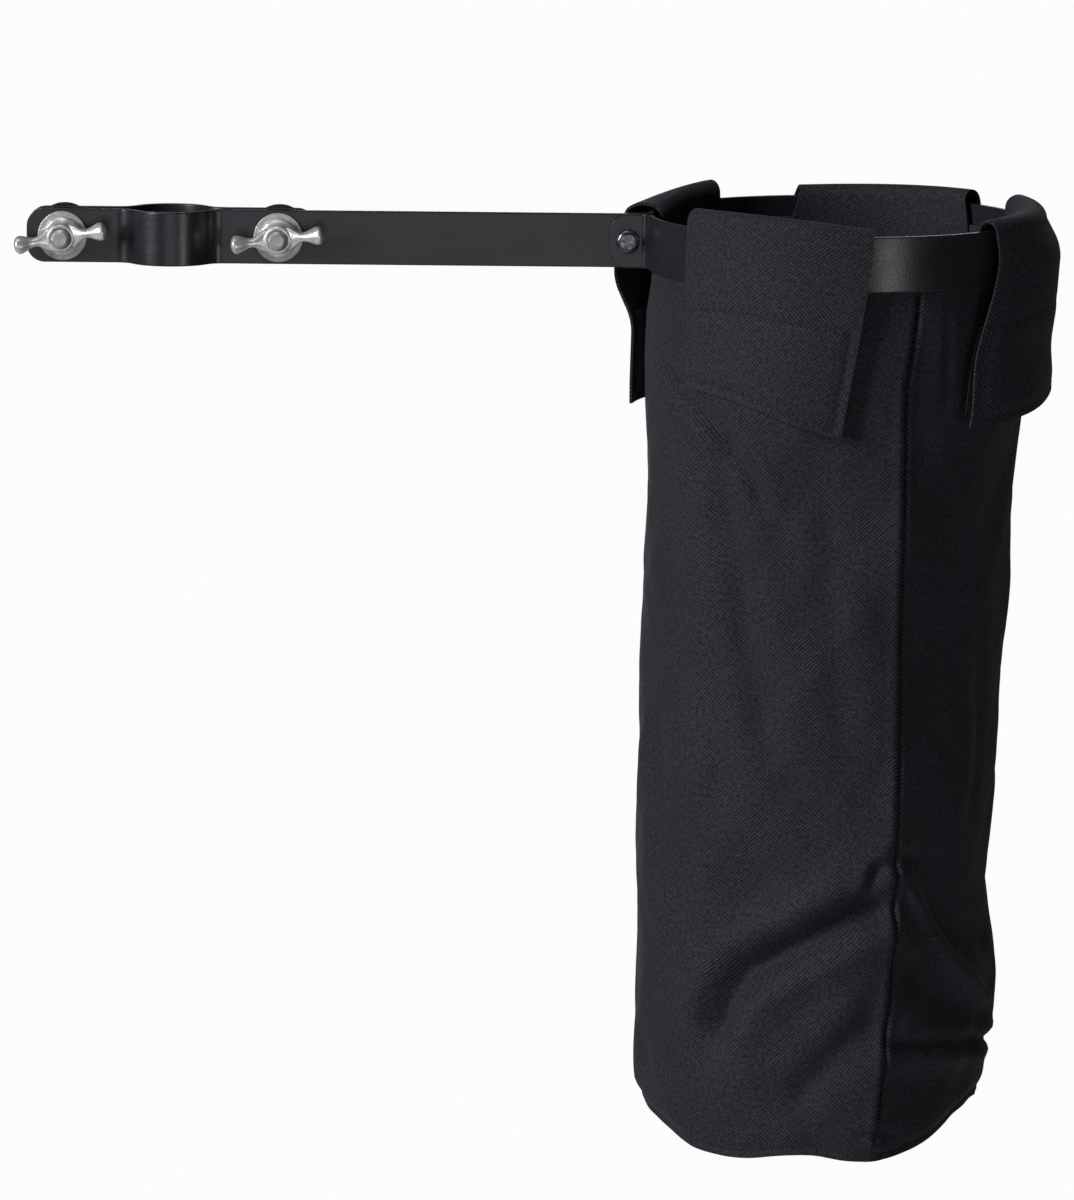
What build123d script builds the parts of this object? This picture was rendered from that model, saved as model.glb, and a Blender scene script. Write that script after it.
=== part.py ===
from build123d import *
import math
import os

# Stand-clamp bag holder: an empty, open-topped cloth bag hung by four folded-over loops on a
# flat-strip ring. One screw joins the ring to a flat-strip arm, and a rear jaw with two bolts and
# two wing nuts clamps the arm round a stand tube.
# Millimetres. The origin is the centre of the clamp's bore, +Z runs up the tube, +X points from
# the tube to the bag, and the wing nuts face -Y.

# ---- strips and clamp ----
STRIP_H = 18.0            # height of every flat strip
STRIP_T = 2.0             # thickness of every flat strip
TUBE_R = 12.7             # radius of the 25.4 mm stand tube that the clamp closes on
JAW_GAP = 5.0             # gap left between the two jaws' flats
JAW_BEND_R = 7.5          # mid-line radius where a flat turns into the half-round
JAW_END_X = 48.0          # how far the jaws reach to each side of the tube
END_CORNER_R = 6.0        # rounded corners of the strips' free ends
SLIP = 0.05               # gap between faces that turn on each other

# ---- clamp bolts, washers and wing nuts ----
BOLT_X = 36.0             # each bolt's distance from the tube's axis
BOLT_R = 3.0              # M6 carriage bolt
BOLT_HOLE_R = 3.3
BOLT_PROUD = 1.6          # thread showing in front of the nut
BOLT_CHAMFER = 0.8
NECK_SIDE = 6.0           # square neck under the bolt's domed head
NECK_L = 3.0
NECK_SLACK = 0.2
HEAD_R = 7.0
HEAD_RISE = 3.2
REAR_WASHER_R = 10.0
REAR_WASHER_T = 1.5
REAR_WASHER_BORE_R = 4.4
FRONT_WASHER_R = 8.2
FRONT_WASHER_T = 1.2
NUT_BASE_R = 6.0
NUT_FLANGE_T = 2.0
NUT_TOP_R = 4.6
NUT_H = 8.0
NUT_BORE_R = 3.06
WING_SPAN = 31.0
WING_T = 2.4
WING_PAD = 6.0
WING_RISE = 4.0           # how far the wings' ends stand in front of the hub
NUT_TILT = {"left": 10.0, "right": 7.0}   # how far each nut's wings lie off the level

# ---- ring joint ----
SCREW_X = 152.5           # the screw that joins the ring's end tabs to the arm
SCREW_R = 2.0
SCREW_HOLE_R = 2.1
SCREW_HEAD_R = 4.0
SCREW_HEAD_RISE = 2.4
RECESS_L = 4.6            # cross recess in the screw's head
RECESS_W = 1.0
RECESS_DEPTH = 1.4
SCREW_WASHER_R = 4.5
SCREW_WASHER_T = 0.8
LOCK_NUT_FLATS = 7.0
LOCK_NUT_H = 4.0
SCREW_PROUD = 0.6
ARM_END_X = 157.0
RING_R = 62.5             # mid-line radius of the ring strap
RING_NECK_R = 3.0         # mid-line radius where the ring turns out into its end tabs
RING_TAB_X = 146.5        # left end of the ring's end tabs

# ---- bag ----
CLOTH_T = 1.0
# (height, outer radius, how far the section's centre has drifted towards the tube)
BAG_SECTIONS = (
    (0.0, 61.0, 0.0),
    (-12.0, 61.0, 0.0),
    (-24.0, 62.0, 0.0),
    (-56.0, 62.5, 0.0),
    (-140.0, 60.6, 2.4),
    (-298.0, 59.5, 3.3),
)
HEM_H = 2.0
BOTTOM_T = 1.2
BINDING_H = 5.0
BINDING_GAP = 0.25
SEAM_AZIMUTH = {"front": 24.0, "rear": 204.0}
SEAM_W = 12.0
SEAM_TOP_Z = -16.0

# ---- loops: cloth that rises inside the ring, folds over it and hangs outside as a flap ----
ROOT_OUT_R = 59.8         # outer face of the cloth that rises inside the ring
ROOT_BOTTOM_Z = -14.0
FOLD_Z = 14.0             # top of the cloth where it turns over the ring
FLAP_R = 65.3             # inner face of a flap that hangs close to the ring
FLAP_BOTTOM_Z = -54.0
PATCH_TOP_Z = -24.0
PATCH_BOTTOM_Z = -50.0
PATCH_INSET = 4.0         # degrees from a flap's edge to its patch
LOOP_PATCH_R = (62.7, 63.75)
HOOK_PATCH_T = 1.4
STITCH_GAP = 0.03
# (azimuth of the middle, half the angle covered, how far the flap stands off the ring)
# azimuth 0 is the wing nuts' side and grows towards the side away from the tube
LOOPS = {
    "front": (-20.0, 28.5, 0.0),
    "outer": (77.0, 28.5, 5.0),
    "back": (164.0, 28.5, 0.0),
    "inner": (-121.0, 21.5, 3.0),
}

# ---- worked-out places ----
FLAT_Y = -(JAW_GAP + STRIP_T) / 2          # mid-plane of the arm
TAB_OFF = STRIP_T + SLIP                   # each ring tab's mid-plane, off the arm's
NECK_OFF = TAB_OFF + RING_NECK_R
RING_X = ARM_END_X + math.sqrt((RING_R + RING_NECK_R) ** 2 - NECK_OFF**2)
RING_CENTRE = Pos(RING_X, FLAT_Y, 0)


def add(node, shape):
    """Write one sub-part's solids to its own file."""
    export_step(shape, f"parts/{node}.step")


def bar_y(x, y0, y1, radius, z=0.0):
    """A round bar along Y from y0 to y1."""
    return Plane(origin=(x, y0, z), x_dir=(1, 0, 0), z_dir=(0, 1, 0)) * extrude(Circle(radius), y1 - y0)


def turned_y(x, profile, bore=None):
    """A turned solid about the line along Y at x: profile is its (radius, y) corners."""
    face = make_face(Polyline([(r, 0, y) for r, y in profile], close=True))
    solid = Pos(x, 0, 0) * Rot(-90, 0, 0) * revolve(face, Axis.Z)
    return solid - bar_y(x, -40, 40, bore) if bore else solid


def strip(path):
    """The flat strip carried along a path that starts along +X or -X in the XY plane."""
    start = Plane(origin=path @ 0, x_dir=(0, 1, 0), z_dir=path % 0)
    return sweep(start * Rectangle(STRIP_T, STRIP_H), path=path)


def round_ends(solid, radius, left=True, right=True):
    """Round the strip's corners at its lowest and highest X."""
    groups = solid.edges().filter_by(Axis.Y).group_by(Axis.X)
    corners = (list(groups[0]) if left else []) + (list(groups[-1]) if right else [])
    return fillet(corners, radius)


def jaw_path(right_end):
    """Flat, bend, half-round bulging towards -Y, bend, flat."""
    round_r = TUBE_R + STRIP_T / 2
    bend_y = -FLAT_Y + JAW_BEND_R
    reach = round_r + JAW_BEND_R
    bend_x = math.sqrt(reach**2 - bend_y**2)
    turn = 90 - math.degrees(math.asin(bend_y / reach))
    left_flat = Line((-JAW_END_X, FLAT_Y), (-bend_x, FLAT_Y))
    bend_in = JernArc(start=left_flat @ 1, tangent=left_flat % 1, radius=JAW_BEND_R, arc_size=-turn)
    half_round = JernArc(start=bend_in @ 1, tangent=bend_in % 1, radius=round_r, arc_size=2 * turn)
    bend_out = JernArc(start=half_round @ 1, tangent=half_round % 1, radius=JAW_BEND_R, arc_size=-turn)
    right_flat = Line(bend_out @ 1, (right_end, FLAT_Y))
    return Wire([left_flat.edge(), bend_in.edge(), half_round.edge(), bend_out.edge(), right_flat.edge()])


def support_arm():
    """The front jaw and the arm, bent from one strip."""
    arm = round_ends(strip(jaw_path(ARM_END_X)), END_CORNER_R)
    for x in (-BOLT_X, BOLT_X):
        arm -= bar_y(x, -40, 40, BOLT_HOLE_R)
    return arm - bar_y(SCREW_X, -40, 40, SCREW_HOLE_R)


def rear_jaw():
    """The same half-round turned to the back, with square holes for the bolts' necks."""
    jaw = mirror(round_ends(strip(jaw_path(JAW_END_X)), END_CORNER_R), about=Plane.XZ)
    side = NECK_SIDE + NECK_SLACK
    for x in (-BOLT_X, BOLT_X):
        jaw -= Pos(x, -FLAT_Y, 0) * Box(side, 4 * STRIP_T, side)
    return jaw


def clamp_bolt(x):
    """Carriage bolt: domed head and square neck at the back, thread to the front."""
    seat_y = -FLAT_Y + STRIP_T / 2 + REAR_WASHER_T
    end_y = nut_base_y() - NUT_H - BOLT_PROUD
    dome_r = (HEAD_R**2 + HEAD_RISE**2) / (2 * HEAD_RISE)
    dome = Pos(x, seat_y + HEAD_RISE - dome_r, 0) * Sphere(dome_r)
    head = dome & Pos(x, seat_y + HEAD_RISE, 0) * Box(2 * dome_r, 2 * HEAD_RISE, 2 * dome_r)
    neck = Pos(x, seat_y - NECK_L / 2, 0) * Box(NECK_SIDE, NECK_L, NECK_SIDE)
    point = [(BOLT_R, end_y + BOLT_CHAMFER), (BOLT_R - BOLT_CHAMFER, end_y), (0, end_y)]
    shank = turned_y(x, [(0, seat_y), (BOLT_R, seat_y), *point])
    return head + neck + shank


def rear_washer(x):
    """Wide washer between the rear jaw and the bolt's head."""
    y = -FLAT_Y + STRIP_T / 2
    return bar_y(x, y, y + REAR_WASHER_T, REAR_WASHER_R) - bar_y(x, y - 1, y + 3, REAR_WASHER_BORE_R)


def front_washer(x):
    """Flat washer between the arm and the wing nut."""
    y = FLAT_Y - STRIP_T / 2
    return bar_y(x, y - FRONT_WASHER_T, y, FRONT_WASHER_R) - bar_y(x, y - 3, y + 1, BOLT_HOLE_R)


def nut_base_y():
    """Where the wing nuts sit on their washers."""
    return FLAT_Y - STRIP_T / 2 - FRONT_WASHER_T - SLIP


def wing_nut(x, tilt):
    """Tapered hub with a web on each side that widens into a thick pad at its end."""
    base = nut_base_y()
    front = base - NUT_H
    hub_side = [(NUT_BASE_R, base), (NUT_BASE_R, base - NUT_FLANGE_T), (NUT_TOP_R, front)]
    hub = turned_y(0, [(0, base), *hub_side, (0, front)])
    tip_x = WING_SPAN / 2
    web_corners = [
        (2.0, base - 1.0),
        (NUT_BASE_R, base - 1.0),
        (tip_x - 2.0, front + 2.5),
        (tip_x - 2.0, front - WING_RISE + 1.0),
        (NUT_TOP_R, front + 1.0),
        (2.0, front + 1.0),
    ]
    web = Pos(0, 0, -WING_T / 2) * extrude(make_face(Polyline(web_corners, close=True)), WING_T)
    pad_len = WING_RISE + NUT_H - 3.0
    pad = Box(WING_PAD, pad_len, WING_PAD)
    pad = fillet(pad.edges().filter_by(Axis.Y), 1.8)
    pad = fillet(pad.faces().sort_by(Axis.Y)[0].edges(), 1.2)
    pad = Pos(tip_x - WING_PAD / 2, front - WING_RISE + pad_len / 2, 0) * pad
    wing = web + pad
    nut = hub + wing + mirror(wing, about=Plane.YZ) - bar_y(0, -40, 40, NUT_BORE_R)
    return Pos(x, 0, 0) * Rot(0, -tilt, 0) * nut


def ring_path():
    """Front tab, neck, the ring, neck, rear tab."""
    turn = 90 - math.degrees(math.asin(NECK_OFF / (RING_R + RING_NECK_R)))
    front_tab = Line((RING_TAB_X, FLAT_Y - TAB_OFF), (ARM_END_X, FLAT_Y - TAB_OFF))
    neck_in = JernArc(start=front_tab @ 1, tangent=front_tab % 1, radius=RING_NECK_R, arc_size=-turn)
    ring = JernArc(start=neck_in @ 1, tangent=neck_in % 1, radius=RING_R, arc_size=180 + 2 * turn)
    neck_out = JernArc(start=ring @ 1, tangent=ring % 1, radius=RING_NECK_R, arc_size=-turn)
    rear_tab = Line(neck_out @ 1, (RING_TAB_X, FLAT_Y + TAB_OFF))
    return Wire([front_tab.edge(), neck_in.edge(), ring.edge(), neck_out.edge(), rear_tab.edge()])


def ring_strap():
    """The ring and the two end tabs that hold the arm between them."""
    ring = round_ends(strip(ring_path()), END_CORNER_R, right=False)
    return ring - bar_y(SCREW_X, -40, 40, SCREW_HOLE_R)


def ring_screw():
    """Pan-head screw with a cross recess."""
    seat_y = FLAT_Y - TAB_OFF - STRIP_T / 2 - SLIP
    top_y = seat_y - SCREW_HEAD_RISE
    end_y = lock_nut_y() + LOCK_NUT_H + SCREW_PROUD
    head = bar_y(SCREW_X, top_y, seat_y, SCREW_HEAD_R)
    head = fillet(head.faces().sort_by(Axis.Y)[0].edges(), 1.6)
    screw = head + bar_y(SCREW_X, seat_y - 0.5, end_y, SCREW_R)
    for size in ((RECESS_L, RECESS_W), (RECESS_W, RECESS_L)):
        screw -= Pos(SCREW_X, top_y, 0) * Rot(0, 20, 0) * Box(size[0], 2 * RECESS_DEPTH, size[1])
    return screw


def lock_nut_y():
    """Front face of the lock nut."""
    return FLAT_Y + TAB_OFF + STRIP_T / 2 + SLIP + SCREW_WASHER_T


def ring_washer():
    """Washer behind the ring's rear tab."""
    y = lock_nut_y()
    return bar_y(SCREW_X, y - SCREW_WASHER_T, y, SCREW_WASHER_R) - bar_y(SCREW_X, y - 3, y + 1, SCREW_HOLE_R)


def ring_lock_nut():
    """Hexagon lock nut at the back of the ring joint."""
    y = lock_nut_y()
    plane = Plane(origin=(SCREW_X, y, 0), x_dir=(1, 0, 0), z_dir=(0, 1, 0))
    hexagon = plane * extrude(RegularPolygon(LOCK_NUT_FLATS / 2, 6, major_radius=False), LOCK_NUT_H)
    return hexagon - bar_y(SCREW_X, y - 1, y + LOCK_NUT_H + 1, SCREW_R + 0.03)


def bag_shape(inset, top_z=None, bottom_z=None):
    """The bag's tapering, drifting form, inset from its outer face and cut between two heights."""
    ends = [BAG_SECTIONS[0], *BAG_SECTIONS, BAG_SECTIONS[-1]]
    heights = [ends[0][0] + 20, *[s[0] for s in BAG_SECTIONS], ends[-1][0] - 20]
    sections = [
        Pos(RING_X - drift, FLAT_Y, z) * Circle(radius - inset)
        for z, (_, radius, drift) in zip(heights, ends)
    ]
    shape = loft(sections, ruled=True)
    top = BAG_SECTIONS[0][0] if top_z is None else top_z
    bottom = BAG_SECTIONS[-1][0] if bottom_z is None else bottom_z
    window = Pos(RING_X, FLAT_Y, (top + bottom) / 2) * Box(200, 200, top - bottom)
    return shape & window


def bag_wall():
    """The bag's side, open at both ends."""
    return bag_shape(0) - bag_shape(CLOTH_T, BAG_SECTIONS[0][0] + 1, BAG_SECTIONS[-1][0] - 1)


def disc_at_bottom(radius, z0, z1):
    """A round plate on the bag's lowest section's centre."""
    drift = BAG_SECTIONS[-1][2]
    return Pos(RING_X - drift, FLAT_Y, z0) * extrude(Circle(radius), z1 - z0)


def bag_bottom():
    """The round bottom panel."""
    _, radius, _ = BAG_SECTIONS[-1]
    z = BAG_SECTIONS[-1][0]
    return disc_at_bottom(radius, z - BOTTOM_T, z)


def bottom_binding():
    """The tape sewn round the bottom seam."""
    z, radius, _ = BAG_SECTIONS[-1]
    inner = radius + BINDING_GAP
    low = z - BOTTOM_T
    high = low + BINDING_H
    return disc_at_bottom(inner + CLOTH_T, low, high) - disc_at_bottom(inner, low - 1, high + 1)


def top_hem():
    """The folded edge on top of the wall."""
    z, radius, _ = BAG_SECTIONS[0]
    ring = extrude(Circle(radius) - Circle(radius - CLOTH_T), HEM_H)
    return RING_CENTRE * Pos(0, 0, z) * ring


def seam_allowance(azimuth):
    """The turned-in cloth that runs down inside one of the wall's two seams."""
    bottom = BAG_SECTIONS[-1][0] + 1.5
    outer = bag_shape(CLOTH_T + 0.1, SEAM_TOP_Z, bottom)
    inner = bag_shape(2 * CLOTH_T + 0.1, SEAM_TOP_Z + 1, bottom - 1)
    window = Pos(RING_X, FLAT_Y, -150) * Rot(0, 0, azimuth) * Pos(0, -55, 0) * Box(SEAM_W, 60, 400)
    return (outer - inner) & window


def sector(azimuth, half_angle, corners):
    """A profile of (radius, height) corners turned through an angle about the ring's axis."""
    face = make_face(Polyline([(r, 0, z) for r, z in corners], close=True))
    turned = revolve(face, Axis.Z, revolution_arc=2 * half_angle)
    return RING_CENTRE * Rot(0, 0, azimuth - 90 - half_angle) * turned


def wall_sector(azimuth, half_angle, inner, outer, low, high):
    """A curved plate between two radii and two heights."""
    return sector(azimuth, half_angle, [(inner, low), (outer, low), (outer, high), (inner, high)])


def loop_root(azimuth, half_angle, stand):
    """The loop's cloth inside the ring and over its top edge."""
    inner = ROOT_OUT_R - CLOTH_T
    lip = FLAP_R + stand - 2 * SLIP
    under = FOLD_Z - 1.2 * CLOTH_T
    corners = [
        (inner, ROOT_BOTTOM_Z),
        (ROOT_OUT_R, ROOT_BOTTOM_Z),
        (ROOT_OUT_R, under),
        (lip, under),
        (lip, FOLD_Z),
        (inner, FOLD_Z),
    ]
    return sector(azimuth, half_angle, corners)


def loop_flap(azimuth, half_angle, stand):
    """The loop's flap, hanging outside the ring."""
    inner = FLAP_R + stand
    return wall_sector(azimuth, half_angle, inner, inner + CLOTH_T, FLAP_BOTTOM_Z, FOLD_Z)


def hook_patch(azimuth, half_angle, stand):
    """The hook tape sewn inside the flap."""
    outer = FLAP_R + stand - STITCH_GAP
    half = half_angle - PATCH_INSET
    return wall_sector(azimuth, half, outer - HOOK_PATCH_T, outer, PATCH_BOTTOM_Z, PATCH_TOP_Z)


def loop_patch(azimuth, half_angle):
    """The loop tape sewn to the wall behind the flap."""
    return wall_sector(azimuth, half_angle - PATCH_INSET, *LOOP_PATCH_R, PATCH_BOTTOM_Z, PATCH_TOP_Z)


os.makedirs("parts", exist_ok=True)

add("support_arm", support_arm())
add("rear_jaw", rear_jaw())
for side, x in (("left", -BOLT_X), ("right", BOLT_X)):
    add(f"{side}_clamp_bolt", clamp_bolt(x))
    add(f"{side}_rear_washer", rear_washer(x))
    add(f"{side}_front_washer", front_washer(x))
    add(f"{side}_wing_nut", wing_nut(x, NUT_TILT[side]))

add("ring_strap", ring_strap())
add("ring_screw", ring_screw())
add("ring_washer", ring_washer())
add("ring_lock_nut", ring_lock_nut())

add("bag_wall", bag_wall())
add("bag_bottom", bag_bottom())
add("bottom_binding", bottom_binding())
add("top_hem", top_hem())
for side, azimuth in SEAM_AZIMUTH.items():
    add(f"{side}_seam_allowance", seam_allowance(azimuth))

for name, (azimuth, half_angle, stand) in LOOPS.items():
    add(f"{name}_loop_root", loop_root(azimuth, half_angle, stand))
    add(f"{name}_flap", loop_flap(azimuth, half_angle, stand))
    add(f"{name}_hook_patch", hook_patch(azimuth, half_angle, stand))
    add(f"{name}_loop_patch", loop_patch(azimuth, half_angle))

print("ring centre x", round(RING_X, 4), "arm mid-plane y", FLAT_Y)
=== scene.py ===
import math

import bmesh
import bpy
import numpy as np
from mathutils import Euler, Matrix, Vector


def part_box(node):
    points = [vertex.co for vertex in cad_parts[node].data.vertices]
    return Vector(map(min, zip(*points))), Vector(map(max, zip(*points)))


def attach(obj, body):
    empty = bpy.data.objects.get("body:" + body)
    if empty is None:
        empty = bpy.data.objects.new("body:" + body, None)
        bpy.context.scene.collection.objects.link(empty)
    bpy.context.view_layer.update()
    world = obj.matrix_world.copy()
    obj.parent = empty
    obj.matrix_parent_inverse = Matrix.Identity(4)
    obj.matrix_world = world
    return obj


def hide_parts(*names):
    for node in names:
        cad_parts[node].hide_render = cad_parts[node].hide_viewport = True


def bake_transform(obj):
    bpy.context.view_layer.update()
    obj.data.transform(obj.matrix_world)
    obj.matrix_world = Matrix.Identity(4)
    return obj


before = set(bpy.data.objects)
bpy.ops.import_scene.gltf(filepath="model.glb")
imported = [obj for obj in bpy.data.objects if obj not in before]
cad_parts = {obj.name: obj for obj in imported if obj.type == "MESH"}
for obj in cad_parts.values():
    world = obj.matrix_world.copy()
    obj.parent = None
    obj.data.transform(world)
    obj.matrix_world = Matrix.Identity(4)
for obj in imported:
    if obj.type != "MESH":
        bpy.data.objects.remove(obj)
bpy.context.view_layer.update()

MM = 0.001

# ---- places taken from the frame ----
WASHER_BOXES = {side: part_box(f"{side}_front_washer") for side in ("left", "right")}
SCREW_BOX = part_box("ring_washer")
HEM_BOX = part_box("top_hem")
ARM_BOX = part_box("support_arm")
RING_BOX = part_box("ring_strap")
JAW_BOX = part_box("rear_jaw")

STRIP_T = 2.0 * MM
STRIP_H = ARM_BOX[1].z - ARM_BOX[0].z
RING_X = (HEM_BOX[0].x + HEM_BOX[1].x) / 2
RING_Y = (HEM_BOX[0].y + HEM_BOX[1].y) / 2
RING_R = RING_BOX[1].x - RING_X - STRIP_T / 2
SCREW_X = (SCREW_BOX[0].x + SCREW_BOX[1].x) / 2
BOLT_X = {side: (low.x + high.x) / 2 for side, (low, high) in WASHER_BOXES.items()}
LOOPS = ("front", "outer", "back", "inner")


# ---- camera ----
CAMERA_AT = (0.1234, -1.85, 0.2169)
CAMERA_DOWN = math.radians(10.41)
CAMERA_ROLL = math.radians(0.55)
CAMERA_LENS = 166.8


def make_camera():
    """A long lens a little above the ring, pitched down on the bag."""
    data = bpy.data.cameras.new("studio_camera")
    data.sensor_width = 36.0
    data.lens = CAMERA_LENS
    data.clip_end = 60.0
    camera = bpy.data.objects.new("studio_camera", data)
    camera.location = CAMERA_AT
    look = Euler((math.pi / 2 - CAMERA_DOWN, 0.0, 0.0)).to_quaternion()
    roll = Euler((0.0, 0.0, CAMERA_ROLL)).to_quaternion()
    camera.rotation_mode = "QUATERNION"
    camera.rotation_quaternion = look @ roll
    bpy.context.scene.collection.objects.link(camera)
    bpy.context.scene.camera = camera


make_camera()


# ---- mesh tools ----
def smoothstep(low, high, x):
    """0 below low, 1 above high, and a cubic ease between them."""
    t = np.clip((x - low) / (high - low), 0.0, 1.0)
    return t * t * (3.0 - 2.0 * t)


def mesh_object(name, points, faces, uv=None):
    """A mesh object at the origin from points, faces and one UV pair for each point."""
    mesh = bpy.data.meshes.new(name)
    mesh.from_pydata(np.asarray(points, float).tolist(), [], [list(map(int, f)) for f in faces])
    if uv is not None:
        layer = mesh.uv_layers.new(name="cloth_uv")
        corner_points = np.empty(len(mesh.loops), int)
        mesh.loops.foreach_get("vertex_index", corner_points)
        layer.data.foreach_set("uv", np.asarray(uv, float)[corner_points].ravel())
    mesh.polygons.foreach_set("use_smooth", np.full(len(mesh.polygons), True))
    mesh.update()
    made = bpy.data.objects.new(name, mesh)
    bpy.context.scene.collection.objects.link(made)
    return made


def grid_faces(rows, columns, wrap_rows=False, wrap_columns=False, first=0):
    """Quads between the neighbours of a rows by columns grid of points, numbered row by row."""
    i = np.arange(rows if wrap_rows else rows - 1)[:, None]
    j = np.arange(columns if wrap_columns else columns - 1)[None, :]
    ni, nj = (i + 1) % rows, (j + 1) % columns
    a, b, c, d = i * columns + j, i * columns + nj, ni * columns + nj, ni * columns + j
    return np.stack([a, b, c, d], axis=-1).reshape(-1, 4) + first


def surface_normals(grid, wrap_rows=False):
    """Unit normals of a grid of points: the cross product of its steps along columns and rows."""
    if wrap_rows:
        along = np.roll(grid, -1, 0) - np.roll(grid, 1, 0)
    else:
        along = np.gradient(grid, axis=0)
    across = np.gradient(grid, axis=1)
    normal = np.cross(along, across)
    return normal / np.maximum(np.linalg.norm(normal, axis=-1, keepdims=True), 1e-12)


def cloth_shell(name, grid, half_thick, uv, wrap_rows=False):
    """
    A closed sheet of cloth: every point of the grid is pushed half a thickness out along its normal
    for the outer face and the same way in for the inner face, and the open borders are joined.
    """
    rows, columns = grid.shape[:2]
    normal = surface_normals(grid, wrap_rows)
    offset = normal * np.asarray(half_thick)[..., None]
    points = np.concatenate([(grid + offset).reshape(-1, 3), (grid - offset).reshape(-1, 3)])
    count = rows * columns
    outer = grid_faces(rows, columns, wrap_rows)
    faces = [outer, outer[:, ::-1] + count]
    index = np.arange(count).reshape(rows, columns)
    borders = [index[:, 0], index[::-1, -1]]
    if wrap_rows:
        borders = [np.append(index[:, 0], index[0, 0]), np.append(index[:, -1], index[0, -1])[::-1]]
    else:
        borders += [index[0, ::-1], index[-1, :]]
    for edge in borders:
        faces.append(np.stack([edge[1:], edge[:-1], edge[:-1] + count, edge[1:] + count], axis=-1))
    both_uv = np.concatenate([uv.reshape(-1, 2)] * 2)
    return mesh_object(name, points, np.concatenate(faces)[:, ::-1], both_uv)


def lathe_y(name, profile, centre, segments=96):
    """
    A turned piece about the line along Y through centre: each (radius, y) corner of the profile is
    carried once round, and a corner on the axis closes as a pole.
    """
    turn = np.linspace(0.0, 2 * math.pi, segments, endpoint=False)[:, None]
    radius, depth = np.array(profile, float).T
    x = centre[0] + radius * np.cos(turn)
    z = centre[1] + radius * np.sin(turn)
    y = np.broadcast_to(depth, x.shape)
    points = np.stack([x, y, z], -1).reshape(-1, 3)
    made = mesh_object(name, points, grid_faces(segments, len(profile), True))
    tidy_mesh(made)
    return made


def tidy_mesh(piece, distance=1e-6):
    """Merge the doubled points of poles and seams and turn every face outwards."""
    work = bmesh.new()
    work.from_mesh(piece.data)
    bmesh.ops.remove_doubles(work, verts=work.verts, dist=distance)
    bmesh.ops.dissolve_degenerate(work, dist=distance, edges=work.edges)
    bmesh.ops.recalc_face_normals(work, faces=work.faces)
    work.to_mesh(piece.data)
    work.free()
    piece.data.update()


def rounded(corners, radius, steps=4):
    """A profile with each inner corner replaced by a short arc-like curve of about that radius."""
    points = np.array(corners, float)
    out = [points[0]]
    for before, here, after in zip(points[:-2], points[1:-1], points[2:]):
        back, on = before - here, after - here
        reach = min(radius, 0.45 * np.linalg.norm(back), 0.45 * np.linalg.norm(on))
        start = here + back / np.linalg.norm(back) * reach
        end = here + on / np.linalg.norm(on) * reach
        for t in np.linspace(0, 1, steps + 1):
            out.append((1 - t) ** 2 * start + 2 * t * (1 - t) * here + t * t * end)
    out.append(points[-1])
    return [tuple(p) for p in out]


# ---- materials ----
def paint_colour(hex_value):
    """An sRGB hex colour as linear red, green, blue and alpha."""
    channels = [int(hex_value[i:i + 2], 16) / 255 for i in (1, 3, 5)]
    return tuple(c / 12.92 if c <= 0.04045 else ((c + 0.055) / 1.055) ** 2.4 for c in channels) + (1.0,)


def node(tree, kind, inputs=None, stops=(), **settings):
    """
    Add one node: settings are its properties, inputs are values or the sockets linked to it, and
    stops are a colour ramp's (place, colour) pairs.
    """
    made = tree.nodes.new(kind)
    for key, value in settings.items():
        setattr(made, key, value)
    for k, (place, colour) in enumerate(stops):
        made.color_ramp.elements[k].position = place
        made.color_ramp.elements[k].color = colour
    for key, value in (inputs or {}).items():
        if isinstance(value, bpy.types.NodeSocket):
            tree.links.new(value, made.inputs[key])
        else:
            made.inputs[key].default_value = value
    return made


def new_material(name, **shader_values):
    """A material with its shader's own sockets set; returns the material, its tree and its shader."""
    material = bpy.data.materials.new(name)
    material.use_nodes = True
    tree = material.node_tree
    shader = tree.nodes["Principled BSDF"]
    for key, value in shader_values.items():
        shader.inputs[key.replace("_", " ")].default_value = value
    return material, tree, shader


def wire(tree, shader, **sockets):
    """Link output sockets to the shader's inputs of the same names."""
    for key, socket in sockets.items():
        tree.links.new(socket, shader.inputs[key.replace("_", " ")])


def coated_metal(name, haze, shades, gloss, grain=None, **shader_values):
    """
    A painted or plated metal: a hazy noise, given as (scale, detail), moves its colour and its
    roughness between two stops each, and a fine one, given as (scale, detail, strength, distance),
    raises its bump.
    """
    material, tree, shader = new_material(name, **shader_values)
    place = node(tree, "ShaderNodeTexCoord").outputs["Object"]
    cloud = node(tree, "ShaderNodeTexNoise", {"Vector": place, "Scale": haze[0], "Detail": haze[1]})
    shade = node(tree, "ShaderNodeValToRGB", {"Fac": cloud.outputs["Fac"]},
                 [(at, paint_colour(tone)) for at, tone in shades])
    rough = node(tree, "ShaderNodeValToRGB", {"Fac": cloud.outputs["Fac"]},
                 [(at, (value, value, value, 1.0)) for at, value in gloss])
    wire(tree, shader, Base_Color=shade.outputs["Color"], Roughness=rough.outputs["Color"])
    if grain:
        scale, detail, strength, distance = grain
        fine = node(tree, "ShaderNodeTexNoise", {"Vector": place, "Scale": scale, "Detail": detail})
        bump = node(tree, "ShaderNodeBump",
                    {"Height": fine.outputs["Fac"], "Strength": strength, "Distance": distance})
        wire(tree, shader, Normal=bump.outputs["Normal"])
    return material


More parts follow.
